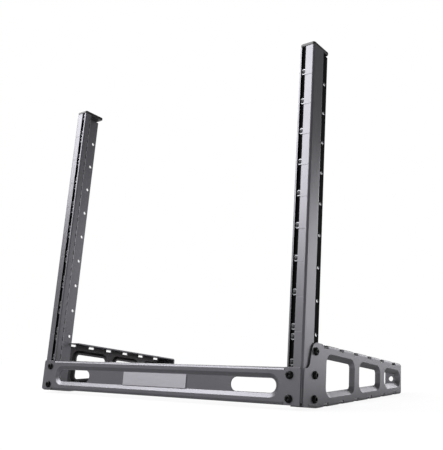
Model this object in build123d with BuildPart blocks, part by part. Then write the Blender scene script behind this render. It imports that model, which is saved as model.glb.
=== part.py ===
from build123d import *
from math import atan, cos, degrees, hypot, radians, sin, tan
import os

# Desktop data rack: an open 19-inch frame, ten rack units high, that leans back on its feet.
# Everything is drawn square to the posts and then leaned back as one frame.
# In that drawing X is to the right, Y is depth behind the posts' front faces, and Z runs up
# the posts from the top edge of the front beam, where the first rack unit starts.

# Rack standard
rack_unit = 44.45
unit_count = 10
slot_spacing = 465.1
slot_to_opening = 6.55
hole_offset = 6.35
lean_angle = 7.0

# Sheet metal
sheet = 2.0
bend_radius = 3.0
tight_bend_radius = 2.2
hole_clearance = 0.4

# Posts
post_width = 23.5
slot_width = 6.7
inner_wall_depth = 13.5
outer_wall_depth = 27.8
leg_depth = 44.7
leg_setback = 4.5
leg_hole_diameter = 5.2
leg_hole_inset = 5.9
perforation_length = 8.0
perforation_width = 1.2
perforations_per_unit = 3
mark_width = 0.5
mark_depth = 0.25
mark_length = 10.5
post_top_reserve = 0.4

# End caps of the posts
cap_height = 5.0
cap_depth = 41.2
cap_radius = 3.5
cap_edge = 1.0
plug_height = 2.8
plug_depth = 35.0
plug_edge = 1.2

# Mounting strip and threaded inserts behind the front slot: round flange, six-sided body
strip_width = 14.5
strip_clearance = 0.2
insert_flange_diameter = 8.6
insert_flange = 1.0
insert_across_flats = 7.4
insert_length = 9.0
thread_diameter = 6.0
thread_clearance = 0.1

# Front beam
beam_edge_gap = 1.15
beam_height = 46.6
beam_flange_depth = 13.5
beam_flange_gap = 2.0
beam_corner_radius = 3.0
beam_bend_radius = 4.0
relief_width = 1.0
pocket_end_gap = 8.5
pocket_height = 30.3
pocket_depth = 3.2
pocket_slope = 5.2
pocket_centre_z = -23.45
beam_slot_inner_x = 138.9
beam_slot_margin = 0.8

# Badge plate
badge_width = 124.0
badge_height = 19.0
badge_thickness = 1.0

# Side brackets
bracket_front_y = 1.9
bracket_rear_y = 296.0
bracket_shoulder_z = -0.3
bracket_top_front_z = 33.8
bracket_top_rear_z = 29.3
bracket_bottom_z = -47.8
bracket_heel_y = 37.2
heel_radius = 30.0
ear_foot_y = 12.8
ear_head_y = 21.5
ear_foot_radius = 8.0
ear_head_radius = 12.0
bracket_corner_radius = 4.0
bracket_flange_width = 26.5
leg_to_flange_gap = 1.3
bottom_flange_start_y = 15.0

# Windows in the side brackets
window_start_y = 56.5
window_widths = (79.7, 68.0, 57.6)
window_gap = 14.0
window_margin = 10.8
window_radius = 12.0
window_rim_depth = 5.0
window_rim_slope = 7.0

# Slots along the bends of the side brackets
bend_slot_length = 12.7
bend_slot_reach = 5.0
bend_slot_pitch = 42.3
bend_slot_count = 6
top_bend_slot_start_y = 55.0
bottom_bend_slot_start_y = 59.0

# Hole in the rear flange
rear_hole_diameter = 7.5
rear_hole_inset = 17.0
rear_hole_z = 6.0

# Button-head bolts
head_diameter = 10.5
head_height = 3.3
head_bevel = 1.6
socket_across_flats = 4.0
socket_depth = 1.8
front_bolt_upper_z = -9.8
front_bolt_lower_z = -38.7
front_bolt_length = 10.0
bracket_bolt_y = 28.0
bracket_bolt_top_z = 22.225
bracket_bolt_pitch = 29.633
bracket_bolt_count = 3
bolt_end_gap = 0.3

# Six-sided nuts welded on the posts' legs, against the side brackets
nut_across_flats = 10.0
nut_clearance = 0.75

# Sizes that follow from the values above
slot_x = slot_spacing / 2
post_inner_x = slot_x - slot_to_opening
post_outer_x = post_inner_x + post_width
slot_inner_x = slot_x - slot_width / 2
slot_outer_x = slot_x + slot_width / 2
leg_outer_x = post_outer_x - leg_setback
leg_inner_x = leg_outer_x - sheet
leg_hole_y = leg_depth - leg_hole_inset
bracket_inner_x = post_outer_x
bracket_outer_x = bracket_inner_x + sheet
bracket_edge_x = bracket_outer_x - bracket_flange_width
rear_hole_x = bracket_outer_x - rear_hole_inset
plug_bottom_z = bracket_bottom_z + sheet
post_bottom_z = plug_bottom_z + plug_height
post_top_z = rack_unit * unit_count + post_top_reserve
post_length = post_top_z - post_bottom_z
strip_front_y = sheet + insert_flange
strip_rear_y = inner_wall_depth - sheet
middle = sheet / 2
middle_radius = bend_radius - middle
beam_front_y = -sheet
beam_width = 2 * (post_outer_x - beam_edge_gap)
pocket_width = 2 * (post_inner_x - pocket_end_gap)
relief_depth = beam_bend_radius
top_flange_start_y = leg_depth + leg_to_flange_gap
bracket_bolt_length = sheet + leg_setback - bolt_end_gap
beam_flange_x = post_inner_x - beam_flange_gap
bottom_slope = tan(radians(lean_angle))
top_slope = (bracket_top_rear_z - bracket_top_front_z) / (bracket_rear_y - ear_head_y)
bracket_bolt_heights = [bracket_bolt_top_z - bracket_bolt_pitch * k for k in range(bracket_bolt_count)]
front_bolt_heights = [front_bolt_upper_z, front_bolt_lower_z]

# The whole frame leans back. Its feet then stand level on the desk at height zero, and the
# origin lies under the middle of its overall depth, from the front bolts to the rear flange.
lean_cos = cos(radians(lean_angle))
lean_sin = sin(radians(lean_angle))
heel_lift = bracket_heel_y * lean_sin - bracket_bottom_z * lean_cos
bolt_face = (sheet + head_height) * lean_cos
bolt_drop = (head_diameter / 2 - head_bevel - front_bolt_lower_z) * lean_sin
front_reach = bolt_face + bolt_drop
rear_corner_y = bracket_rear_y - bracket_corner_radius
rear_corner_z = bracket_top_rear_z - bracket_corner_radius
rear_reach = rear_corner_y * lean_cos + rear_corner_z * lean_sin + bracket_corner_radius
lean = Location((0, (front_reach - rear_reach) / 2, heel_lift), (-lean_angle, 0, 0))


def across(z):
    """Plane square to the posts at height z, seen from above: X to the right, Y back."""
    return Plane(lean * Plane.XY.offset(z).location)


def facing(y):
    """Plane parallel to the posts' front faces at depth y: X to the right, Z up, facing front."""
    return Plane(lean * Plane.XZ.offset(-y).location)


def beside(x):
    """Plane parallel to the side brackets at x: Y back, Z up, facing right."""
    return Plane(lean * Plane.YZ.offset(x).location)


def bracket_top(y):
    """Height of the side bracket's upper edge at depth y."""
    return bracket_top_front_z + (y - ear_head_y) * top_slope


def bracket_bottom(y):
    """Height of the side bracket's lower edge at depth y, flat in front of the heel."""
    return bracket_bottom_z + max(0, y - bracket_heel_y) * bottom_slope


def write_piece(piece, name):
    """Names a finished piece and writes it to its own file."""
    piece.part.label = name
    export_step(piece.part, "parts/" + name + ".step")


os.makedirs("parts", exist_ok=True)

# Inner channel of a post: one folded sheet with the slot's inner lip, the inner wall,
# the web behind the inserts and the leg that runs back from it.
channel_line = [
    (slot_inner_x, middle),
    (post_inner_x + middle, middle),
    (post_inner_x + middle, inner_wall_depth - middle),
    (leg_inner_x + middle, inner_wall_depth - middle),
    (leg_inner_x + middle, leg_depth),
]
unit_lines = [rack_unit * k for k in range(1, unit_count)]
perforation_pitch = rack_unit / perforations_per_unit
perforation_heights = [
    perforation_pitch * (k + 0.5) for k in range(unit_count * perforations_per_unit)
]

with BuildPart() as post_channel_right:
    with BuildSketch(across(post_bottom_z)):
        with BuildLine():
            FilletPolyline(*channel_line, radius=tight_bend_radius - middle)
        trace(line_width=sheet)
    extrude(amount=post_length)
    # round holes along the rear edge of the leg, one at each unit line
    with BuildSketch(beside(leg_inner_x)):
        with Locations(*[(leg_hole_y, z) for z in unit_lines]):
            Circle(leg_hole_diameter / 2)
    extrude(amount=sheet, mode=Mode.SUBTRACT)
    # short slots that weaken the rear bend of the inner wall so that it folds square
    with BuildSketch(beside(post_inner_x)):
        with Locations(*[(inner_wall_depth - bend_radius, z) for z in perforation_heights]):
            Rectangle(perforation_width, perforation_length)
    extrude(amount=sheet, mode=Mode.SUBTRACT)

with BuildPart() as post_channel_left:
    mirror(post_channel_right.part, about=Plane.YZ)

# Outer cover of a post: the front face outside the slot, the outer wall and a short
# return that is welded to the leg. Its lower rear edge is cut back for the welded nuts.
cover_line = [
    (slot_outer_x, middle),
    (post_outer_x - middle, middle),
    (post_outer_x - middle, outer_wall_depth - middle),
    (leg_outer_x, outer_wall_depth - middle),
]
cutback_y = bracket_bolt_y - nut_across_flats / 2 - nut_clearance
nut_corner = nut_across_flats / 2 / cos(radians(30))
cutback_top_z = bracket_bolt_top_z + nut_corner + nut_clearance

with BuildPart() as post_cover_right:
    with BuildSketch(across(post_bottom_z)):
        with BuildLine():
            FilletPolyline(*cover_line, radius=middle_radius)
        trace(line_width=sheet)
    extrude(amount=post_length)
    with BuildSketch(beside(leg_outer_x)):
        with Locations((cutback_y, post_bottom_z)):
            Rectangle(leg_depth, cutback_top_z - post_bottom_z, align=(Align.MIN, Align.MIN))
    extrude(amount=leg_setback, mode=Mode.SUBTRACT)
    # a fine line across the front face marks the start of each unit
    with BuildSketch(facing(0)):
        with Locations(*[(slot_outer_x, z) for z in unit_lines]):
            Rectangle(mark_length, mark_width, align=(Align.MIN, Align.CENTER))
    extrude(amount=-mark_depth, mode=Mode.SUBTRACT)

with BuildPart() as post_cover_left:
    mirror(post_cover_right.part, about=Plane.YZ)

# Plastic cap on the top of a post, and the thin plug between its foot and the bracket.
cap_centre_x = post_inner_x + post_width / 2

with BuildPart() as top_cap_right:
    with BuildSketch(across(post_top_z)):
        with Locations((cap_centre_x, 0)):
            RectangleRounded(post_width, cap_depth, cap_radius, align=(Align.CENTER, Align.MIN))
    extrude(amount=cap_height)
    chamfer(top_cap_right.faces().sort_by(Axis.Z)[-1].edges(), cap_edge)

with BuildPart() as top_cap_left:
    mirror(top_cap_right.part, about=Plane.YZ)

with BuildPart() as foot_plug_right:
    with BuildSketch(across(plug_bottom_z)):
        with Locations((cap_centre_x, 0)):
            RectangleRounded(post_width, plug_depth, cap_radius, align=(Align.CENTER, Align.MIN))
    extrude(amount=plug_height)
    chamfer(foot_plug_right.faces().sort_by(Axis.Z)[0].edges(), plug_edge)

with BuildPart() as foot_plug_left:
    mirror(foot_plug_right.part, about=Plane.YZ)

# Where threaded inserts sit behind the slot. The left post has a pair around every unit
# line; the right post has one above each line and a pair only around the first.
left_insert_heights = [hole_offset]
for line in unit_lines:
    left_insert_heights += [line - hole_offset, line + hole_offset]
left_insert_heights.append(rack_unit * unit_count - hole_offset)
right_insert_heights = [hole_offset, rack_unit - hole_offset]
right_insert_heights += [line + hole_offset for line in unit_lines]

# Mounting strip: an angle that lies behind the slot and stands on the web by its outer leg.
strip_inner_x = post_inner_x + sheet + strip_clearance
strip_outer_x = strip_inner_x + strip_width
strip_line = [
    (strip_inner_x, strip_front_y + middle),
    (strip_outer_x - middle, strip_front_y + middle),
    (strip_outer_x - middle, strip_rear_y),
]


def six_sided(across_flats):
    """Draws a hexagon with two flats upright."""
    return RegularPolygon(across_flats / 2, 6, major_radius=False, rotation=30)


def strip(side, heights):
    """Draws a mounting strip with a hole for the body of each insert."""
    with BuildPart() as piece:
        with BuildSketch(across(post_bottom_z)):
            with BuildLine():
                FilletPolyline(*[(side * x, y) for x, y in strip_line], radius=middle_radius)
            trace(line_width=sheet)
        extrude(amount=post_length)
        with BuildSketch(facing(strip_front_y)):
            with Locations(*[(side * slot_x, z) for z in heights]):
                six_sided(insert_across_flats + thread_clearance)
        extrude(amount=-sheet, mode=Mode.SUBTRACT)
    return piece


def inserts(side, heights):
    """Draws a row of flanged inserts, each bored right through for its thread."""
    with BuildPart() as piece:
        with BuildSketch(facing(sheet)):
            with Locations(*[(side * slot_x, z) for z in heights]):
                Circle(insert_flange_diameter / 2)
        extrude(amount=-insert_flange)
        with BuildSketch(facing(strip_front_y)):
            with Locations(*[(side * slot_x, z) for z in heights]):
                six_sided(insert_across_flats)
        extrude(amount=insert_flange - insert_length)
        with BuildSketch(facing(sheet)):
            with Locations(*[(side * slot_x, z) for z in heights]):
                Circle(thread_diameter / 2)
        extrude(amount=-insert_length, mode=Mode.SUBTRACT)
    return piece


def beam_nuts(side):
    """Draws the two plain six-sided nuts behind the front beam's bolts."""
    with BuildPart() as piece:
        with BuildSketch(facing(sheet)):
            with Locations(*[(side * slot_x, z) for z in front_bolt_heights]):
                six_sided(insert_across_flats)
                Circle(thread_diameter / 2, mode=Mode.SUBTRACT)
        extrude(amount=-insert_length)
    return piece


mounting_strip_left = strip(-1, left_insert_heights + front_bolt_heights)
mounting_strip_right = strip(1, right_insert_heights + front_bolt_heights)
insert_row_left = inserts(-1, left_insert_heights)
insert_row_right = inserts(1, right_insert_heights)
beam_nuts_left = beam_nuts(-1)
beam_nuts_right = beam_nuts(1)

# Front beam: a flanged plate across both posts with a long pressed pocket.
pocket_taper = degrees(atan(pocket_slope / pocket_depth))
pocket_wall = sheet * hypot(pocket_slope, pocket_depth) / pocket_depth
pocket_growth = pocket_wall - pocket_slope / pocket_depth * sheet
pocket_floor_height = pocket_height - 2 * pocket_slope
pocket_floor_width = pocket_width - 2 * pocket_slope
beam_slot_outer_x = pocket_floor_width / 2 - beam_slot_margin
beam_slot_length = beam_slot_outer_x - beam_slot_inner_x
beam_slot_x = (beam_slot_outer_x + beam_slot_inner_x) / 2
pocket_floor_y = beam_front_y + pocket_depth

beam_line = [
    (beam_flange_depth, -middle),
    (beam_front_y + middle, -middle),
    (beam_front_y + middle, middle - beam_height),
    (beam_flange_depth, middle - beam_height),
]

with BuildPart() as front_beam:
    # folded length between the posts: the face with a flange along its top and its bottom
    with BuildSketch(beside(-beam_flange_x)):
        with BuildLine():
            FilletPolyline(*beam_line, radius=beam_bend_radius - middle)
        trace(line_width=sheet)
    extrude(amount=2 * beam_flange_x)
    # flat plate whose ends lie across the posts, cut away around the folds and their reliefs
    with BuildSketch(facing(0)):
        with Locations((0, -beam_height / 2)):
            RectangleRounded(beam_width, beam_height, beam_corner_radius)
        with Locations((0, 0), (0, -beam_height)):
            Rectangle(2 * (beam_flange_x + relief_width), 2 * relief_depth, mode=Mode.SUBTRACT)
    extrude(amount=sheet)
    # pressed pocket: the wall behind it first, then the hollow
    with BuildSketch(facing(0)):
        with Locations((0, pocket_centre_z)):
            SlotOverall(pocket_width + 2 * pocket_growth, pocket_height + 2 * pocket_growth)
    extrude(amount=-pocket_depth, taper=pocket_taper)
    with BuildSketch(facing(beam_front_y)):
        with Locations((0, pocket_centre_z)):
            SlotOverall(pocket_width, pocket_height)
    extrude(amount=-pocket_depth, taper=pocket_taper, mode=Mode.SUBTRACT)
    # the two long slots through the pocket's floor, and the holes for the bolts
    with BuildSketch(facing(pocket_floor_y)):
        with Locations((-beam_slot_x, pocket_centre_z), (beam_slot_x, pocket_centre_z)):
            SlotOverall(beam_slot_length, pocket_floor_height - 2 * beam_slot_margin)
    extrude(amount=-sheet, mode=Mode.SUBTRACT)
    with BuildSketch(facing(0)):
        for side in (-1, 1):
            with Locations(*[(side * slot_x, z) for z in front_bolt_heights]):
                Circle((thread_diameter + hole_clearance) / 2)
    extrude(amount=sheet, mode=Mode.SUBTRACT)

with BuildPart() as badge_plate:
    with BuildSketch(facing(pocket_floor_y)):
        with Locations((0, pocket_centre_z)):
            Rectangle(badge_width, badge_height)
    extrude(amount=badge_thickness)

# Side bracket: a plate with an ear in front of the leg, flanges turned inward along the
# top, the rear and the bottom, and three windows whose rims are drawn inward.
bracket_outline = [
    (bracket_front_y, bracket_shoulder_z),
    (ear_foot_y, bracket_shoulder_z),
    (ear_head_y, bracket_top(ear_head_y)),
    (bracket_rear_y, bracket_top(bracket_rear_y)),
    (bracket_rear_y, bracket_bottom(bracket_rear_y)),
    (bracket_heel_y, bracket_bottom_z),
    (bracket_front_y, bracket_bottom_z),
]
rim_taper = degrees(atan(window_rim_slope / window_rim_depth))
rim_wall = sheet * hypot(window_rim_slope, window_rim_depth) / window_rim_depth
rim_growth = rim_wall - window_rim_slope / window_rim_depth * sheet


# The bracket's outline, drawn flat with depth to the right and height up.
with BuildSketch() as bracket_face:
    with BuildLine():
        Polyline(*bracket_outline, close=True)
    make_face()
    for point, radius in (
        ((ear_foot_y, bracket_shoulder_z), ear_foot_radius),
        ((ear_head_y, bracket_top(ear_head_y)), ear_head_radius),
        ((bracket_rear_y, bracket_top(bracket_rear_y)), bracket_corner_radius),
        ((bracket_rear_y, bracket_bottom(bracket_rear_y)), bracket_corner_radius),
        ((bracket_heel_y, bracket_bottom_z), heel_radius),
        ((bracket_front_y, bracket_bottom_z), bracket_corner_radius),
    ):
        fillet(bracket_face.vertices().sort_by_distance(point)[0], radius)

# In front of the flanges the bracket is a flat plate: above, up to where the top flange
# starts, and below, up to where the bottom flange starts.
with BuildSketch() as flat_zone:
    Rectangle(2 * top_flange_start_y, bracket_top_front_z, align=(Align.CENTER, Align.MIN))
    Rectangle(2 * bottom_flange_start_y, -bracket_bottom_z, align=(Align.CENTER, Align.MAX))

# Space inside the folded flanges, with the inner radius of the bends.
with BuildPart() as bracket_hollow:
    with BuildSketch(beside(bracket_edge_x)):
        add(bracket_face.sketch)
        offset(amount=-sheet, mode=Mode.REPLACE)
    extrude(amount=bracket_flange_width - sheet)
    fillet(bracket_hollow.faces().sort_by(Axis.X)[-1].edges(), bend_radius - sheet)


def windows(growth):
    """Draws the three windows flat, each larger all round by the growth."""
    with BuildSketch() as face:
        start = window_start_y
        for width in window_widths:
            end = start + width
            inset = window_margin - growth
            corners = [
                (start - growth, bracket_top(start) - inset),
                (end + growth, bracket_top(end) - inset),
                (end + growth, bracket_bottom(end) + inset),
                (start - growth, bracket_bottom(start) + inset),
            ]
            with BuildLine():
                FilletPolyline(*corners, radius=window_radius + growth, close=True)
            make_face()
            start = end + window_gap
    return face.sketch


def in_rack(shape):
    """Centre of an edge or face, measured square to the posts."""
    return (lean.inverse() * Location(shape.center())).position


top_bend_slots = [top_bend_slot_start_y + bend_slot_pitch * k for k in range(bend_slot_count)]
bottom_bend_slots = [bottom_bend_slot_start_y + bend_slot_pitch * k for k in range(bend_slot_count)]

with BuildPart() as folded_bracket:
    # folded part: the outline behind the flat zone, rounded along the bends, then hollowed
    with BuildSketch(beside(bracket_edge_x)):
        add(bracket_face.sketch)
        add(flat_zone.sketch, mode=Mode.SUBTRACT)
    extrude(amount=bracket_flange_width)
    outer_edges = folded_bracket.faces().sort_by(Axis.X)[-1].edges()
    bends = [e for e in outer_edges if in_rack(e).Y > top_flange_start_y + sheet / 4]
    bends += [
        e for e in outer_edges if in_rack(e).Y < top_flange_start_y and in_rack(e).Z < bracket_bottom_z / 2
        and in_rack(e).Y > bottom_flange_start_y + sheet / 4
    ]
    fillet(bends, bend_radius)
    add(bracket_hollow.part, mode=Mode.SUBTRACT)
    # flat part in front
    with BuildSketch(beside(bracket_inner_x)):
        add(bracket_face.sketch)
        add(flat_zone.sketch, mode=Mode.INTERSECT)
    extrude(amount=sheet)
    # relief cuts in front of the flanges, so that each bend ends cleanly
    with BuildSketch(beside(bracket_inner_x)):
        with Locations((top_flange_start_y, bracket_top(top_flange_start_y))):
            Rectangle(relief_width, 2 * relief_depth, align=(Align.MAX, Align.CENTER))
        with Locations((bottom_flange_start_y, bracket_bottom_z)):
            Rectangle(relief_width, 2 * relief_depth, align=(Align.MAX, Align.CENTER))
    extrude(amount=sheet, mode=Mode.SUBTRACT)
    # windows with drawn rims: the rims' outsides first, then the openings
    with BuildSketch(beside(bracket_inner_x)):
        add(windows(rim_growth))
    extrude(amount=sheet - window_rim_depth, taper=rim_taper)
    with BuildSketch(beside(bracket_outer_x)):
        add(windows(0))
    extrude(amount=-window_rim_depth, taper=rim_taper, mode=Mode.SUBTRACT)
    # holes for the three bolts into the post
    with BuildSketch(beside(bracket_inner_x)):
        with Locations(*[(bracket_bolt_y, z) for z in bracket_bolt_heights]):
            Circle((thread_diameter + hole_clearance) / 2)
    extrude(amount=sheet, mode=Mode.SUBTRACT)
    # hole in the rear flange
    with BuildSketch(facing(bracket_rear_y)):
        with Locations((rear_hole_x, rear_hole_z)):
            Circle(rear_hole_diameter / 2)
    extrude(amount=sheet, mode=Mode.SUBTRACT)
    # slots along the upper and lower bends
    with BuildSketch(beside(bracket_outer_x - bend_slot_reach)):
        for y in top_bend_slots:
            with Locations((y, bracket_top(y))):
                Rectangle(bend_slot_length, 2 * bend_slot_reach)
        for y in bottom_bend_slots:
            with Locations((y, bracket_bottom(y))):
                Rectangle(bend_slot_length, 2 * bend_slot_reach, rotation=lean_angle)
    extrude(amount=bend_slot_reach, mode=Mode.SUBTRACT)

# The bracket is written as two pieces that meet where the bends end: the plate with its
# bends and windows, and the straight flanges that run round its top, rear and bottom.
with BuildPart() as flange_zone:
    with BuildSketch(beside(bracket_edge_x)):
        add(bracket_face.sketch)
        offset(amount=-sheet, mode=Mode.SUBTRACT)
    extrude(amount=bracket_flange_width - bend_radius)

with BuildPart() as side_bracket_right:
    add(folded_bracket.part)
    add(flange_zone.part, mode=Mode.SUBTRACT)

with BuildPart() as bracket_flanges_right:
    add(folded_bracket.part)
    add(flange_zone.part, mode=Mode.INTERSECT)

with BuildPart() as side_bracket_left:
    mirror(side_bracket_right.part, about=Plane.YZ)

with BuildPart() as bracket_flanges_left:
    mirror(bracket_flanges_right.part, about=Plane.YZ)


def bolt(head_plane, shank_length):
    """Draws a button-head bolt whose head stands on the plane and whose shank runs behind it."""
    with BuildPart() as piece:
        with BuildSketch(head_plane):
            Circle(head_diameter / 2)
        extrude(amount=head_height)
        top = piece.faces().filter_by(GeomType.PLANE).sort_by_distance(head_plane.offset(head_height).origin)[0]
        chamfer(top.edges(), head_bevel)
        with BuildSketch(head_plane.offset(head_height)):
            RegularPolygon(socket_across_flats / 2, 6, major_radius=False)
        extrude(amount=-socket_depth, mode=Mode.SUBTRACT)
        with BuildSketch(head_plane):
            Circle((thread_diameter - thread_clearance) / 2)
        extrude(amount=-shank_length)
    return piece


def spacer_nuts(side):
    """Draws the three nuts that stand between a leg and its side bracket."""
    with BuildPart() as piece:
        with BuildSketch(beside(side * leg_outer_x)):
            with Locations(*[(bracket_bolt_y, z) for z in bracket_bolt_heights]):
                six_sided(nut_across_flats)
                Circle(thread_diameter / 2, mode=Mode.SUBTRACT)
        extrude(amount=side * leg_setback)
    return piece


spacer_nuts_right = spacer_nuts(1)
spacer_nuts_left = spacer_nuts(-1)

pieces = {
    "post_channel_right": post_channel_right,
    "post_channel_left": post_channel_left,
    "post_cover_right": post_cover_right,
    "post_cover_left": post_cover_left,
    "top_cap_right": top_cap_right,
    "top_cap_left": top_cap_left,
    "foot_plug_right": foot_plug_right,
    "foot_plug_left": foot_plug_left,
    "mounting_strip_right": mounting_strip_right,
    "mounting_strip_left": mounting_strip_left,
    "insert_row_right": insert_row_right,
    "insert_row_left": insert_row_left,
    "beam_nuts_right": beam_nuts_right,
    "beam_nuts_left": beam_nuts_left,
    "front_beam": front_beam,
    "badge_plate": badge_plate,
    "side_bracket_right": side_bracket_right,
    "side_bracket_left": side_bracket_left,
    "bracket_flanges_right": bracket_flanges_right,
    "bracket_flanges_left": bracket_flanges_left,
    "spacer_nuts_right": spacer_nuts_right,
    "spacer_nuts_left": spacer_nuts_left,
}

for side, side_name in ((1, "right"), (-1, "left")):
    for z, row in zip(front_bolt_heights, ("upper", "lower")):
        seat = Plane(facing(beam_front_y).from_local_coords((side * slot_x, z, 0)), z_dir=facing(0).z_dir)
        pieces["front_bolt_" + side_name + "_" + row] = bolt(seat, front_bolt_length)
    outward = beside(0).z_dir * side
    for z, row in zip(bracket_bolt_heights, ("upper", "middle", "lower")):
        seat = Plane(beside(side * bracket_outer_x).from_local_coords((bracket_bolt_y, z, 0)), z_dir=outward)
        pieces["bracket_bolt_" + side_name + "_" + row] = bolt(seat, bracket_bolt_length)

for name, piece in pieces.items():
    write_piece(piece, name)
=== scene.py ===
# %% [markdown]
# # A desktop data rack, dressed for its picture
# The rack is an open frame of folded sheet steel: two slotted posts that lean back, a front
# beam with a pressed pocket, and two windowed side brackets that stand on the desk. Its shapes
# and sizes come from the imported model. This lesson gives each surface its finish, adds the
# screw threads that are too fine for the model, and sets up the studio.

# %% Load the model
import math

import bpy
import bmesh
from mathutils import Matrix, Vector


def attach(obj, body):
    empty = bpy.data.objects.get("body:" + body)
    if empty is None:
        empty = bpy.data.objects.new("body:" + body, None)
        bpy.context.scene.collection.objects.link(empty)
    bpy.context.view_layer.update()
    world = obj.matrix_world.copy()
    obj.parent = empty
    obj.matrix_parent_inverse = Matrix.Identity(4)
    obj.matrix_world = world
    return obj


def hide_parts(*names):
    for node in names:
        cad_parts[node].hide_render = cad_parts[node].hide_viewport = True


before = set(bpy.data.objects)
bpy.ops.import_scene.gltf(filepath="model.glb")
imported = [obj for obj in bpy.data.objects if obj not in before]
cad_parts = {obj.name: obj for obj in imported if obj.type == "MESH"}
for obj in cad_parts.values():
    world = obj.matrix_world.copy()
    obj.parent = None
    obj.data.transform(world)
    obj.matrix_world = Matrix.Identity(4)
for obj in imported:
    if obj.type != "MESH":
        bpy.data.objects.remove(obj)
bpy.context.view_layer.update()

# %% [markdown]
# ## Colours
# A colour picked from a picture or a paint card is an sRGB hex value, which is stretched for
# the eye. The renderer adds light in linear values, so each hex colour goes through one
# function on its way to a shader.

# %% Colours from hex values
def linear(hex_code):
    """One sRGB hex colour as linear red, green, blue and alpha."""
    values = []
    for start in (0, 2, 4):
        v = int(hex_code[start:start + 2], 16) / 255
        values.append(v / 12.92 if v <= 0.04045 else ((v + 0.055) / 1.055) ** 2.4)
    return (*values, 1.0)


print("mid grey", [round(v, 3) for v in linear("808080")])

# %% [markdown]
# ## Building a material from nodes
# A finish is a small graph of nodes. Typing out each node, its settings and its links takes
# four or five lines, so one small function does that for every kind of node: settings are
# given by name, and an input is either a value or another node's output.

# %% One function that adds a node
def add_node(material, kind, inputs=None, **settings):
    """Adds a node, sets its properties, and fills or links its inputs."""
    tree = material.node_tree
    made = tree.nodes.new(kind)
    for name, value in settings.items():
        setattr(made, name, value)
    for socket, value in (inputs or {}).items():
        if isinstance(value, bpy.types.NodeSocket):
            tree.links.new(value, made.inputs[socket])
        else:
            made.inputs[socket].default_value = value
    return made


def new_material(name):
    """An empty node material with its output, ready for a surface."""
    material = bpy.data.materials.new(name)
    material.use_nodes = True
    material.node_tree.nodes.clear()
    return material


MM = 0.001
print("a millimetre is", MM, "of the scene's metres")

# %% [markdown]
# ## Where the colour varies, and where the edges are lighter
# Sprayed and plated surfaces are never one flat tone. A slow noise gives the cloudy change
# over a hand's width, and a mask of the sharp edges marks a lighter colour there. It is partly
# wear, where handling rubs the coat thin, and partly a painted highlight along the edge.
# The edge mask compares the true normal with one that has been rounded over a small radius:
# on a flat face the two agree, and near an edge they part. Rubbing thins the coat there but
# seldom takes it right off, so only a share of the lighter colour is mixed in.

# %% Cloud and edge masks
AGREE_ON_A_FACE = 0.995
AGREE_ON_AN_EDGE = 0.8
# The edges take this share of a lighter colour, partly wear and partly a painted highlight.
RUBBED_AND_HIGHLIT_SHARE = 0.35


def cloud(material, size_mm, detail=3.0):
    """A noise whose blotches are about size_mm across, between 0 and 1."""
    place = add_node(material, "ShaderNodeTexCoord")
    return add_node(material, "ShaderNodeTexNoise", {
        "Vector": place.outputs["Object"], "Scale": 1 / (size_mm * MM), "Detail": detail,
    }).outputs["Fac"]


def edge_mask(material, radius_mm):
    """About 0 on flat faces and up to 1 on edges sharper than the radius."""
    true_normal = add_node(material, "ShaderNodeNewGeometry").outputs["Normal"]
    rounded = add_node(material, "ShaderNodeBevel", {"Radius": radius_mm * MM}, samples=4)
    agree = add_node(material, "ShaderNodeVectorMath", {
        0: true_normal, 1: rounded.outputs["Normal"]}, operation="DOT_PRODUCT")
    return add_node(material, "ShaderNodeMapRange", {
        "Value": agree.outputs["Value"], "From Min": AGREE_ON_A_FACE, "From Max": AGREE_ON_AN_EDGE,
        "To Min": 0.0, "To Max": 1.0}).outputs["Result"]


full_wear_and_highlight = math.degrees(math.acos(AGREE_ON_AN_EDGE))
print("an edge is fully worn where the two normals part by", round(full_wear_and_highlight, 1), "degrees")

# %% [markdown]
# ## Metallic grey powder coat
# The folded sheets are sprayed with a dark grey polyester powder that carries fine metal
# flake, and baked. It gives the eye a satin sheen: dark where it mirrors a dark room and pale
# where it mirrors a lamp. The baked film has a faint orange peel, waves about 1.2 mm long and
# a few micrometres high, and flake of about 0.05 mm, drawn here at 0.35 mm so that it shows.
# The faces that look into a post are drawn near black, matt and with no metal. Those inside a
# bracket get a darker tone that keeps the shine of the coat: painted shade. So these finishes
# need to know which way is inward.

# %% Powder coat for the sheet metal
COAT_DARK = "66656a"
COAT_PALE = "727176"
# The lighter edge colour below is partly wear and partly a painted highlight.
COAT_WORN_AND_HIGHLIT = "a9a8ae"
# Near black for the faces that look into a post, matt and with no metal.
INWARD_BLACK = "060607"
# Painted shade: the darker tone on the faces inside a bracket, which keeps the shine.
INSIDE_BRACKET_SHADE = "403e40"
EDGE_RADIUS_MM = 0.45
INWARD_BLACK_ROUGHNESS = 0.9
INWARD_BLACK_GLANCE = 0.1
LOOKS_THAT_WAY = 0.7


def faces_along(material, side):
    """1 on faces that look towards side along X, with -1 for left and 1 for right, else 0."""
    normal = add_node(material, "ShaderNodeNewGeometry").outputs["True Normal"]
    along = add_node(material, "ShaderNodeVectorMath", {
        0: normal, 1: (side, 0, 0)}, operation="DOT_PRODUCT")
    return add_node(material, "ShaderNodeMath", {
        0: along.outputs["Value"], 1: LOOKS_THAT_WAY}, operation="GREATER_THAN").outputs[0]


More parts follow.
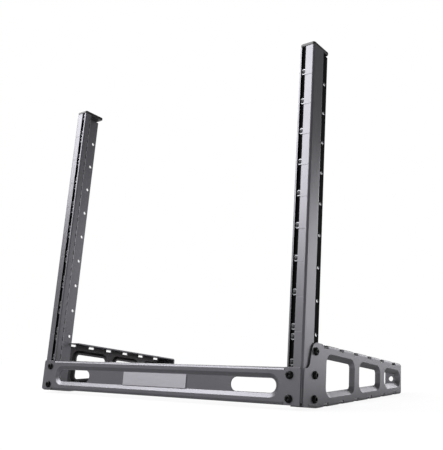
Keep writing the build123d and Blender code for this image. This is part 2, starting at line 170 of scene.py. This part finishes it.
def powder_coat(name, dark, pale, worn_and_highlit, roughness, metallic, inward=0, inner=INWARD_BLACK, glance=0.5):
    """Powder coat: cloudy tone, flake, orange peel, edges lighter from wear and painted highlight, inner
    tone.
    """
    material = new_material(name)
    slow = add_node(material, "ShaderNodeMapRange", {
        "Value": cloud(material, 60), "To Min": 0.2, "To Max": 0.8}).outputs["Result"]
    tone = add_node(material, "ShaderNodeMix", {
        "Factor": slow, "A": linear(dark), "B": linear(pale)}, data_type="RGBA")
    # Edges take a share of the lighter colour: partly wear, partly a painted highlight.
    rubbed_and_highlit = add_node(material, "ShaderNodeMath", {
        0: edge_mask(material, 0.5), 1: RUBBED_AND_HIGHLIT_SHARE}, operation="MULTIPLY").outputs[0]
    colour = add_node(material, "ShaderNodeMix", {
        "Factor": rubbed_and_highlit, "A": tone.outputs["Result"], "B": linear(worn_and_highlit)}, data_type="RGBA")
    shine = add_node(material, "ShaderNodeMapRange", {
        "Value": cloud(material, 25), "To Min": roughness - 0.03,
        "To Max": roughness + 0.03}).outputs["Result"]
    metal = metallic
    # Inward faces take the inner tone; inside the brackets that darker tone is painted shade.
    if inward:
        inside = faces_along(material, inward)
        colour = add_node(material, "ShaderNodeMix", {
            "Factor": inside, "A": colour.outputs["Result"], "B": linear(inner)}, data_type="RGBA")
        # In the posts the inward faces are near black, matt and with no metal.
        if inner == INWARD_BLACK:
            shine = add_node(material, "ShaderNodeMix", {
                "Factor": inside, "A": shine, "B": INWARD_BLACK_ROUGHNESS}).outputs["Result"]
            metal = add_node(material, "ShaderNodeMapRange", {
                "Value": inside, "To Min": metallic, "To Max": 0.0}).outputs["Result"]
            glance = add_node(material, "ShaderNodeMapRange", {
                "Value": inside, "To Min": glance, "To Max": INWARD_BLACK_GLANCE}).outputs["Result"]
    rounded = add_node(material, "ShaderNodeBevel", {"Radius": EDGE_RADIUS_MM * MM}, samples=4)
    grain = add_node(material, "ShaderNodeBump", {
        "Height": cloud(material, 0.35, 1.0), "Strength": 0.06, "Distance": 0.02 * MM,
        "Normal": rounded.outputs["Normal"]})
    waves = add_node(material, "ShaderNodeBump", {
        "Height": cloud(material, 1.2, 1.0), "Strength": 0.12, "Distance": 0.05 * MM,
        "Normal": grain.outputs["Normal"]})
    surface = add_node(material, "ShaderNodeBsdfPrincipled", {
        "Base Color": colour.outputs["Result"], "Metallic": metal, "Roughness": shine,
        "Specular IOR Level": glance, "Normal": waves.outputs["Normal"]})
    add_node(material, "ShaderNodeOutputMaterial", {"Surface": surface.outputs["BSDF"]})
    return material


coat = (COAT_DARK, COAT_PALE, COAT_WORN_AND_HIGHLIT, 0.34, 0.8)
sheet_coat = powder_coat("powder_coated_steel", *coat)
left_facing_black = powder_coat("powder_coat_black_to_the_left", *coat, inward=-1)
right_facing_black = powder_coat("powder_coat_black_to_the_right", *coat, inward=1)
# Inside the brackets the darker inner tone is painted shade.
left_bracket_coat = powder_coat("powder_coat_shade_to_the_right", *coat, inward=1, inner=INSIDE_BRACKET_SHADE)
right_bracket_coat = powder_coat("powder_coat_shade_to_the_left", *coat, inward=-1, inner=INSIDE_BRACKET_SHADE)
print("powder coats", [made.name for made in bpy.data.materials if made.name.startswith("powder")])

# %% [markdown]
# ## Black coated strip
# Behind the slot lies a strip that holds the inserts. It is dipped in a black electrocoat,
# which leaves a thin, even, rather dull film, so the slot reads as a black line.

# %% Black electrocoat
black_electrocoat = powder_coat("black_electrocoat", "040405", "070708", "1a1a1c", 0.85, 0.0, glance=0.1)
print("strip coat", black_electrocoat.name)

# %% [markdown]
# ## Zinc-plated steel
# The inserts and nuts are turned from steel and plated with zinc. Zinc is a pale, slightly
# blue metal with a soft shine and a fine crystal mottle about 0.6 mm across.

# %% Zinc plating
def plated_zinc():
    """Pale zinc with a fine crystal mottle."""
    material = new_material("zinc_plated_steel")
    mottle = cloud(material, 0.6)
    colour = add_node(material, "ShaderNodeMix", {
        "Factor": mottle, "A": linear("76777a"), "B": linear("9a9b9e")}, data_type="RGBA")
    shine = add_node(material, "ShaderNodeMapRange", {
        "Value": mottle, "To Min": 0.34, "To Max": 0.48}).outputs["Result"]
    bump = add_node(material, "ShaderNodeBump", {
        "Height": mottle, "Strength": 0.15, "Distance": 0.02 * MM})
    surface = add_node(material, "ShaderNodeBsdfPrincipled", {
        "Base Color": colour.outputs["Result"], "Metallic": 1.0, "Roughness": shine,
        "Normal": bump.outputs["Normal"]})
    add_node(material, "ShaderNodeOutputMaterial", {"Surface": surface.outputs["BSDF"]})
    return material


zinc = plated_zinc()
print("nuts and inserts", zinc.name)

# %% [markdown]
# ## Black oxide screws
# The button-head screws are hardened steel, blackened in a hot salt bath and oiled. Black
# oxide is a very thin film, so the steel's shine comes through it as a dark gloss.

# %% Black oxide
def blackened_steel():
    """Dark oiled steel, with edges lighter from wear and a painted highlight."""
    material = new_material("black_oxide_steel")
    tone = add_node(material, "ShaderNodeMix", {
        "Factor": cloud(material, 2.0), "A": linear("131314"), "B": linear("1f1f21")}, data_type="RGBA")
    # The screw edges take a share of a paler grey: partly wear, partly a painted highlight.
    rubbed_and_highlit = add_node(material, "ShaderNodeMath", {
        0: edge_mask(material, 0.3), 1: RUBBED_AND_HIGHLIT_SHARE}, operation="MULTIPLY").outputs[0]
    colour = add_node(material, "ShaderNodeMix", {
        "Factor": rubbed_and_highlit, "A": tone.outputs["Result"], "B": linear("5a5a5e")}, data_type="RGBA")
    shine = add_node(material, "ShaderNodeMapRange", {
        "Value": cloud(material, 3.0), "To Min": 0.3, "To Max": 0.42}).outputs["Result"]
    bump = add_node(material, "ShaderNodeBump", {
        "Height": cloud(material, 0.4), "Strength": 0.1, "Distance": 0.02 * MM})
    surface = add_node(material, "ShaderNodeBsdfPrincipled", {
        "Base Color": colour.outputs["Result"], "Metallic": 0.9, "Roughness": shine,
        "Normal": bump.outputs["Normal"]})
    add_node(material, "ShaderNodeOutputMaterial", {"Surface": surface.outputs["BSDF"]})
    return material


black_oxide = blackened_steel()
print("screws", black_oxide.name)

# %% [markdown]
# ## Moulded black nylon
# The caps on the posts and the plugs under them are moulded from nylon in a spark-eroded
# mould, which leaves a fine even grain, about 0.4 mm across, on a satin black plastic.

# %% Moulded nylon
def moulded_nylon():
    """Satin black plastic with a fine spark-eroded grain."""
    material = new_material("black_moulded_nylon")
    tone = add_node(material, "ShaderNodeMix", {
        "Factor": cloud(material, 15), "A": linear("101011"), "B": linear("181819")}, data_type="RGBA")
    grain = cloud(material, 0.4, 1.0)
    bump = add_node(material, "ShaderNodeBump", {
        "Height": grain, "Strength": 0.25, "Distance": 0.04 * MM})
    shine = add_node(material, "ShaderNodeMapRange", {
        "Value": grain, "To Min": 0.27, "To Max": 0.38}).outputs["Result"]
    surface = add_node(material, "ShaderNodeBsdfPrincipled", {
        "Base Color": tone.outputs["Result"], "Roughness": shine, "IOR": 1.53,
        "Normal": bump.outputs["Normal"]})
    add_node(material, "ShaderNodeOutputMaterial", {"Surface": surface.outputs["BSDF"]})
    return material


nylon = moulded_nylon()
print("caps and plugs", nylon.name)

# %% [markdown]
# ## Brushed aluminium plate
# The plate in the beam's pocket is thin aluminium, brushed along its length and clear
# anodised. The brush leaves lines about 0.1 mm apart, drawn here at 0.3 mm so that they show.

# %% Brushed aluminium
def brushed_aluminium():
    """Pale aluminium with fine lines along X."""
    material = new_material("brushed_anodised_aluminium")
    place = add_node(material, "ShaderNodeTexCoord")
    stretched = add_node(material, "ShaderNodeMapping", {
        "Vector": place.outputs["Object"], "Scale": (0.02, 1.0, 1.0)})
    lines = add_node(material, "ShaderNodeTexNoise", {
        "Vector": stretched.outputs["Vector"], "Scale": 1 / (0.3 * MM), "Detail": 2.0}).outputs["Fac"]
    colour = add_node(material, "ShaderNodeMix", {
        "Factor": lines, "A": linear("a3a2a8"), "B": linear("b5b4ba")}, data_type="RGBA")
    shine = add_node(material, "ShaderNodeMapRange", {
        "Value": lines, "To Min": 0.34, "To Max": 0.46}).outputs["Result"]
    bump = add_node(material, "ShaderNodeBump", {
        "Height": lines, "Strength": 0.1, "Distance": 0.02 * MM})
    surface = add_node(material, "ShaderNodeBsdfPrincipled", {
        "Base Color": colour.outputs["Result"], "Metallic": 0.7, "Roughness": shine,
        "Normal": bump.outputs["Normal"]})
    add_node(material, "ShaderNodeOutputMaterial", {"Surface": surface.outputs["BSDF"]})
    return material


aluminium = brushed_aluminium()
print("pocket plate", aluminium.name)

# %% [markdown]
# ## Giving each piece its finish
# The model's pieces already sit in the right place, so a finish is put on by replacing the
# material in each piece's slots. The piece's name says what it is made of.

# %% Put the finishes on
FINISHES = {
    "post_channel_left": left_facing_black,
    "post_channel_right": right_facing_black,
    "post_cover_left": right_facing_black,
    "post_cover_right": left_facing_black,
    "side_bracket_left": left_bracket_coat,
    "side_bracket_right": right_bracket_coat,
    "bracket_flanges": sheet_coat,
    "front_beam": sheet_coat,
    "mounting_strip": black_electrocoat,
    "insert_row": zinc,
    "beam_nuts": zinc,
    "spacer_nuts": zinc,
    "top_cap": nylon,
    "foot_plug": nylon,
    "front_bolt": black_oxide,
    "bracket_bolt": black_oxide,
    "badge_plate": aluminium,
}

for name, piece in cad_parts.items():
    finish = next(FINISHES[start] for start in FINISHES if name.startswith(start))
    if not piece.material_slots:
        piece.data.materials.append(finish)
    for held in piece.material_slots:
        held.material = finish
print("finished", len(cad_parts), "pieces")

# %% [markdown]
# ## Screws in detail
# The model's bolts are plain, with no thread and a straight bevel. Here each gets the form of
# a real button-head screw: a domed head, a six-sided socket with a countersunk mouth, and a
# metric thread of 1 mm pitch. The places come from the model's own bolts, so each new screw
# sits where the old one was. A shape is measured along its own axis by projecting its points
# on three directions that are square to each other.

# %% Where the model's screws are
LEAN = math.radians(7)
POST_UP = Vector((0, math.sin(LEAN), math.cos(LEAN)))
POST_FRONT = Vector((0, -math.cos(LEAN), math.sin(LEAN)))


def frame_along(outward):
    """A turn that takes Z to the outward direction."""
    return outward.to_track_quat("Z", "Y").to_matrix()


def span(points, direction):
    """Lowest and highest reach of some points along a direction."""
    reach = [point.dot(direction) for point in points]
    return min(reach), max(reach)


def placed(points, outward):
    """A matrix at the centre of the outer end of some points, and their length along outward."""
    turn = frame_along(outward)
    spans = [span(points, turn.col[k]) for k in range(3)]
    middle = [(low + high) / 2 for low, high in spans]
    centre = turn @ Vector((middle[0], middle[1], spans[2][1]))
    return Matrix.Translation(centre) @ turn.to_4x4(), spans[2][1] - spans[2][0]


def node_points(name):
    """The corner points of one of the model's pieces."""
    return [vertex.co.copy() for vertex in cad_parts[name].data.vertices]


place, length = placed(node_points("front_bolt_right_upper"), POST_FRONT)
print("a front bolt is", round(length / MM, 2), "mm long")

# %% [markdown]
# A screw is turned on a lathe, so its mesh is a stack of rings. Each ring has the same number
# of points, and only its radius and height change. The socket is a ring too: a hexagon drawn
# with the same points, each pushed out to the flat that it faces. The thread is a ridge with
# a three-sided section that climbs one pitch each turn.

# %% Rings and ridges
RING_POINTS = 48
THREAD_PITCH = 1.0
THREAD_POINTS = 24
RIDGE_SIDE = 0.06


def hexagon_radius(across_flats, angle):
    """Distance from a hexagon's centre to its outline in one direction."""
    sixth = math.pi / 3
    return across_flats / 2 / math.cos((angle % sixth) - sixth / 2)


def add_rings(mesh, rings):
    """Joins rings of (radius, height, is_hexagon) into a closed skin, sizes in mm."""
    rows = []
    for radius, height, is_hexagon in rings:
        row = []
        for k in range(RING_POINTS):
            angle = math.tau * k / RING_POINTS
            r = hexagon_radius(2 * radius, angle) if is_hexagon else radius
            row.append(mesh.verts.new((r * math.cos(angle) * MM, r * math.sin(angle) * MM, height * MM)))
        rows.append(row)
    for low, high in zip(rows, rows[1:]):
        for k in range(RING_POINTS):
            after = (k + 1) % RING_POINTS
            mesh.faces.new((low[k], low[after], high[after], high[k]))
    mesh.faces.new(list(reversed(rows[0])))
    mesh.faces.new(rows[-1])


def add_ridge(mesh, base, crest, start, length):
    """Adds a helical ridge from the base radius to the crest radius, sizes in mm."""
    steps = int((length - THREAD_PITCH) / THREAD_PITCH * THREAD_POINTS)
    section = ((base, RIDGE_SIDE), (crest, 0.5), (base, 1 - RIDGE_SIDE))
    rows = []
    for k in range(steps + 1):
        angle = math.tau * k / THREAD_POINTS
        rise = start + THREAD_PITCH * k / THREAD_POINTS
        row = []
        for radius, share in section:
            lift = share * THREAD_PITCH
            row.append(mesh.verts.new((
                radius * math.cos(angle) * MM, radius * math.sin(angle) * MM, (rise + lift) * MM)))
        rows.append(row)
    for low, high in zip(rows, rows[1:]):
        for k in range(3):
            after = (k + 1) % 3
            mesh.faces.new((low[k], low[after], high[after], high[k]))
    mesh.faces.new(list(reversed(rows[0])))
    mesh.faces.new(rows[-1])


SHARP_DEGREES = 35


def finished_piece(name, mesh, material):
    """Turns a bmesh into a smooth object, with its sharp edges kept sharp."""
    bmesh.ops.recalc_face_normals(mesh, faces=mesh.faces)
    for face in mesh.faces:
        face.smooth = True
    for edge in mesh.edges:
        edge.smooth = edge.calc_face_angle(0) < math.radians(SHARP_DEGREES)
    data = bpy.data.meshes.new(name)
    mesh.to_mesh(data)
    mesh.free()
    data.materials.append(material)
    piece = bpy.data.objects.new(name, data)
    bpy.context.scene.collection.objects.link(piece)
    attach(piece, "root")
    return piece


print("a ring has", RING_POINTS, "points and a turn of thread", THREAD_POINTS)

# %% [markdown]
# The head's dome is an arc from the rim to a small flat ring round the socket. Its height and
# width are those of the model's bolt, so the new screw stays inside the old one's box.

# %% Button-head screws
HEAD_RADIUS = 5.25
HEAD_HEIGHT = 3.3
RIM_HEIGHT = 0.6
RIM_BEVEL = 0.15
SOCKET_FLATS = 4.0
SOCKET_DEPTH = 1.8
SOCKET_POINT = 0.5
SOCKET_MOUTH_DEPTH = 0.3
MOUTH_TO_SOCKET = 1.18
FLAT_RING_TO_SOCKET = 1.36
THREAD_RADIUS = 2.95
THREAD_ROOT = 2.45
THREAD_SUNK = 0.04
TIP_BEVEL = 0.5
DOME_STEPS = 8


def button_head_screw(name, outward):
    """Replaces one of the model's bolts with a detailed button-head screw."""
    place, length = placed(node_points(name), outward)
    tip = -length / MM
    under_head = -HEAD_HEIGHT
    rings = [(THREAD_ROOT - TIP_BEVEL, tip, False), (THREAD_ROOT, tip + TIP_BEVEL, False)]
    rings += [(THREAD_ROOT, under_head, False), (HEAD_RADIUS - RIM_BEVEL, under_head, False)]
    rings += [(HEAD_RADIUS, under_head + RIM_BEVEL, False)]
    rings += [(HEAD_RADIUS, under_head + RIM_HEIGHT, False)]
    socket = SOCKET_FLATS / 2
    flat_radius = socket * FLAT_RING_TO_SOCKET
    for k in range(1, DOME_STEPS + 1):
        turn = math.pi / 2 * k / DOME_STEPS
        radius = flat_radius + (HEAD_RADIUS - flat_radius) * math.cos(turn)
        height = under_head + RIM_HEIGHT + (HEAD_HEIGHT - RIM_HEIGHT) * math.sin(turn)
        rings.append((radius, height, False))
    rings += [(socket * MOUTH_TO_SOCKET, -0.02, False), (socket, -SOCKET_MOUTH_DEPTH, True)]
    rings += [(socket, -SOCKET_DEPTH, True), (0.3, -SOCKET_DEPTH - SOCKET_POINT, False)]
    mesh = bmesh.new()
    add_rings(mesh, rings)
    thread_length = length / MM - HEAD_HEIGHT - TIP_BEVEL
    add_ridge(mesh, THREAD_ROOT - THREAD_SUNK, THREAD_RADIUS, tip + TIP_BEVEL, thread_length)
    mesh.transform(place)
    piece = finished_piece(name + "_detailed", mesh, black_oxide)
    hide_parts(name)
    return piece


screws = []
for side, outward in (("left", Vector((-1, 0, 0))), ("right", Vector((1, 0, 0)))):
    for row in ("upper", "lower"):
        screws.append(button_head_screw(f"front_bolt_{side}_{row}", POST_FRONT))
    for row in ("upper", "middle", "lower"):
        screws.append(button_head_screw(f"bracket_bolt_{side}_{row}", outward))
print(len(screws), "screws,", sum(len(screw.data.polygons) for screw in screws), "faces")

# %% [markdown]
# ## Threads in the inserts
# Each insert behind the slots is tapped for the screws that hold equipment. The model has a
# plain bore there, so a ridge is added inside it, with its base sunk just below the wall. The
# inserts of one post are one node, so they are told apart by the gaps between their heights.

# %% Threads
INSERT_BORE = 3.0
RIDGE_SUNK = 0.03
RIDGE_HEIGHT = 0.46
BORE_LEAD_IN = 0.4
BORE_LEAD_OUT = 0.5


def groups_along(points, direction, gap_mm=2.0):
    """Sorts points along a direction and parts them wherever a gap opens."""
    ordered = sorted(points, key=lambda point: point.dot(direction))
    groups = [[ordered[0]]]
    for before, point in zip(ordered, ordered[1:]):
        if (point - before).dot(direction) > gap_mm * MM:
            groups.append([])
        groups[-1].append(point)
    return groups


for side in ("left", "right"):
    whole = bmesh.new()
    inserts = groups_along(node_points(f"insert_row_{side}"), POST_UP)
    for points in inserts:
        place, length = placed(points, POST_FRONT)
        one = bmesh.new()
        bore_length = length / MM
        add_ridge(one, INSERT_BORE + RIDGE_SUNK, INSERT_BORE - RIDGE_HEIGHT,
                  BORE_LEAD_IN - bore_length, bore_length - BORE_LEAD_IN - BORE_LEAD_OUT)
        one.transform(place)
        copy = bpy.data.meshes.new("one_thread")
        one.to_mesh(copy)
        one.free()
        whole.from_mesh(copy)
        bpy.data.meshes.remove(copy)
    threads = finished_piece(f"insert_threads_{side}", whole, zinc)
    print(side, "post:", len(inserts), "tapped inserts")

# %% [markdown]
# ## Studio
# A pale desk runs back into a white surround. To the camera the surround is plain white, and
# so is the desk further out. Close to the rack one tenth of it is real paint, which keeps the
# soft shadow. Satin metal would mirror one flat white from every side, so mirrors get their
# own surround, graded as a grey tent is: mid grey along the horizon and darker overhead. In
# mirrors the desk is painted dark grey, and beside the rack its glow fades as a painted shadow.
# Each face of the rack gets its own tone that way. FILL is the even light that the surround
# throws on the rack.

# %% Desk and surround
HORIZON = 0.5
OVERHEAD = 0.22
FILL = 0.32
HORIZON_BAND = 0.3
NEAR_SEEN, FAR_SEEN = 0.9, 1.0
SHADOW_FROM, SHADOW_TO = 0.35, 1.6
# In mirrors the desk's glow fades beside the rack: a painted shadow.
NEAR_MIRRORED, FAR_MIRRORED = 0.32, 0.92
MIRROR_FROM, MIRROR_TO = 0.28, 0.45


def seen_and_mirrored(material, seen, mirrored):
    """A share that is one value to the camera, another in reflections, and 0 to other rays."""
    rays = add_node(material, "ShaderNodeLightPath")
    shiny = add_node(material, "ShaderNodeMath", {
        0: rays.outputs["Is Glossy Ray"], 1: rays.outputs["Is Transmission Ray"]}, operation="MAXIMUM")
    in_mirror = add_node(material, "ShaderNodeMath", {
        0: shiny.outputs[0], 1: mirrored}, operation="MULTIPLY")
    return add_node(material, "ShaderNodeMath", {
        0: rays.outputs["Is Camera Ray"], 1: seen, 2: in_mirror.outputs[0]},
        operation="MULTIPLY_ADD").outputs[0]


def desk_paint():
    """White to the camera with the soft shadow near the rack; painted dark grey in mirrors, darker
    beside it.
    """
    material = new_material("pale_desk")
    place = add_node(material, "ShaderNodeNewGeometry").outputs["Position"]
    distance = add_node(material, "ShaderNodeVectorMath", {0: place}, operation="LENGTH")
    seen = add_node(material, "ShaderNodeMapRange", {
        "Value": distance.outputs["Value"], "From Min": SHADOW_FROM, "From Max": SHADOW_TO,
        "To Min": NEAR_SEEN, "To Max": FAR_SEEN}, interpolation_type="SMOOTHSTEP").outputs["Result"]
    # Beside the rack the glow seen in mirrors fades: a painted shadow.
    mirrored = add_node(material, "ShaderNodeMapRange", {
        "Value": distance.outputs["Value"], "From Min": MIRROR_FROM, "From Max": MIRROR_TO,
        "To Min": NEAR_MIRRORED, "To Max": FAR_MIRRORED},
        interpolation_type="SMOOTHSTEP").outputs["Result"]
    rays = add_node(material, "ShaderNodeLightPath")
    # Seen in mirrors the desk paint is dark grey: painted shade.
    tone = add_node(material, "ShaderNodeMix", {
        "Factor": rays.outputs["Is Glossy Ray"], "A": linear("f0f0f0"),
        "B": linear("202020")}, data_type="RGBA")
    paint = add_node(material, "ShaderNodeBsdfDiffuse", {"Color": tone.outputs["Result"]})
    glow = add_node(material, "ShaderNodeEmission", {"Color": (1, 1, 1, 1), "Strength": 1.0})
    share = seen_and_mirrored(material, seen, mirrored)
    both = add_node(material, "ShaderNodeMixShader", {
        0: share, 1: paint.outputs["BSDF"], 2: glow.outputs["Emission"]})
    add_node(material, "ShaderNodeOutputMaterial", {"Surface": both.outputs["Shader"]})
    return material


bpy.ops.mesh.primitive_plane_add(size=30, location=(0, 0, -0.0002))
desk = bpy.context.object
desk.name = "desk"
desk.data.materials.append(desk_paint())

surround = bpy.data.worlds.new("white_surround")
bpy.context.scene.world = surround
surround.use_nodes = True
surround.node_tree.nodes.clear()
direction = add_node(surround, "ShaderNodeTexCoord").outputs["Generated"]
height = add_node(surround, "ShaderNodeSeparateXYZ", {"Vector": direction}).outputs["Z"]
graded = add_node(surround, "ShaderNodeMapRange", {
    "Value": height, "From Min": 0.0, "From Max": HORIZON_BAND, "To Min": HORIZON, "To Max": OVERHEAD},
    interpolation_type="SMOOTHSTEP").outputs["Result"]
rays = add_node(surround, "ShaderNodeLightPath")
shiny = add_node(surround, "ShaderNodeMath", {
    0: rays.outputs["Is Glossy Ray"], 1: rays.outputs["Is Transmission Ray"]}, operation="MAXIMUM")
tent_or_fill = add_node(surround, "ShaderNodeMix", {"Factor": shiny.outputs[0], "A": FILL, "B": graded})
strength = add_node(surround, "ShaderNodeMix", {
    "Factor": rays.outputs["Is Camera Ray"], "A": tent_or_fill.outputs["Result"], "B": 1.0})
sky = add_node(surround, "ShaderNodeBackground", {
    "Color": (1, 1, 1, 1), "Strength": strength.outputs["Result"]})
add_node(surround, "ShaderNodeOutputWorld", {"Surface": sky.outputs["Background"]})
print("stage", desk.name, "and", surround.name)

# %% [markdown]
# ## Lamps
# Satin metal shows the shape of its lamps, so they are area lamps, most of them large and
# soft. The biggest and brightest stands high to the left front. Three stand behind to the
# right, about where the right-hand faces mirror the camera's view: a wide low one, a narrower
# one a little higher, and a small one close by. They give those faces their sheen. One stands
# high behind to the left for the faces that look back, and one hangs overhead for the caps and
# the upper edges. How bright each is started from renders of each lamp alone, weighed against
# the tones of the smooth faces in the picture.

# %% Soft lamps
TARGET = Vector((0, 0, 0.2))


def soft_lamp(name, azimuth, elevation, distance, size, brightness):
    """A large area lamp in that direction from the rack, in degrees, as bright as its face looks."""
    data = bpy.data.lights.new(name, "AREA")
    data.shape = "RECTANGLE"
    data.size, data.size_y = size
    data.energy = brightness * math.pi * size[0] * size[1]
    lamp = bpy.data.objects.new(name, data)
    bpy.context.scene.collection.objects.link(lamp)
    turn, lift = math.radians(azimuth), math.radians(elevation)
    toward = Vector((math.cos(lift) * math.cos(turn), math.cos(lift) * math.sin(turn), math.sin(lift)))
    lamp.location = TARGET + toward * distance
    lamp.rotation_euler = (-toward).to_track_quat("-Z", "Y").to_euler()
    lamp.visible_camera = False
    return lamp


soft_lamp("left_front_lamp", azimuth=230, elevation=40, distance=2.6, size=(2.6, 1.8), brightness=6.3)
soft_lamp("low_back_lamp", azimuth=62, elevation=3, distance=3.0, size=(1.2, 0.8), brightness=2.8)
soft_lamp("right_back_lamp", azimuth=75, elevation=12, distance=3.0, size=(0.8, 0.5), brightness=2.9)
soft_lamp("near_back_lamp", azimuth=66, elevation=12, distance=1.05, size=(0.3, 0.3), brightness=3.0)
soft_lamp("left_back_lamp", azimuth=155, elevation=35, distance=3.0, size=(2.0, 1.2), brightness=4.0)
soft_lamp("overhead_lamp", azimuth=90, elevation=85, distance=2.2, size=(1.2, 1.2), brightness=3.0)

# %% [markdown]
# ## Camera
# The picture was taken from the right front, close to the desk, with the lens tipped up a
# little. The place and angle were worked out by fitting the rack's known sizes to the picture.

# %% Camera
PICTURE = (443, 450)
FOCAL_PIXELS = 678.24
CENTRE_PIXELS = (220.10, 229.24)

lens = bpy.data.cameras.new("photo_camera")
camera = bpy.data.objects.new("photo_camera", lens)
bpy.context.scene.collection.objects.link(camera)
camera.location = (0.69289, -0.87946, 0.09256)
camera.rotation_euler = [math.radians(v) for v in (98.83174, 0.37165, 37.83138)]
lens.sensor_width = 36
lens.lens = FOCAL_PIXELS / max(PICTURE) * lens.sensor_width
lens.shift_x = (PICTURE[0] / 2 - CENTRE_PIXELS[0]) / max(PICTURE)
lens.shift_y = (CENTRE_PIXELS[1] - PICTURE[1] / 2) / max(PICTURE)
lens.clip_start = 0.01
bpy.context.scene.camera = camera
bpy.context.scene.view_settings.view_transform = "Standard"
print("lens", round(lens.lens, 2), "mm")
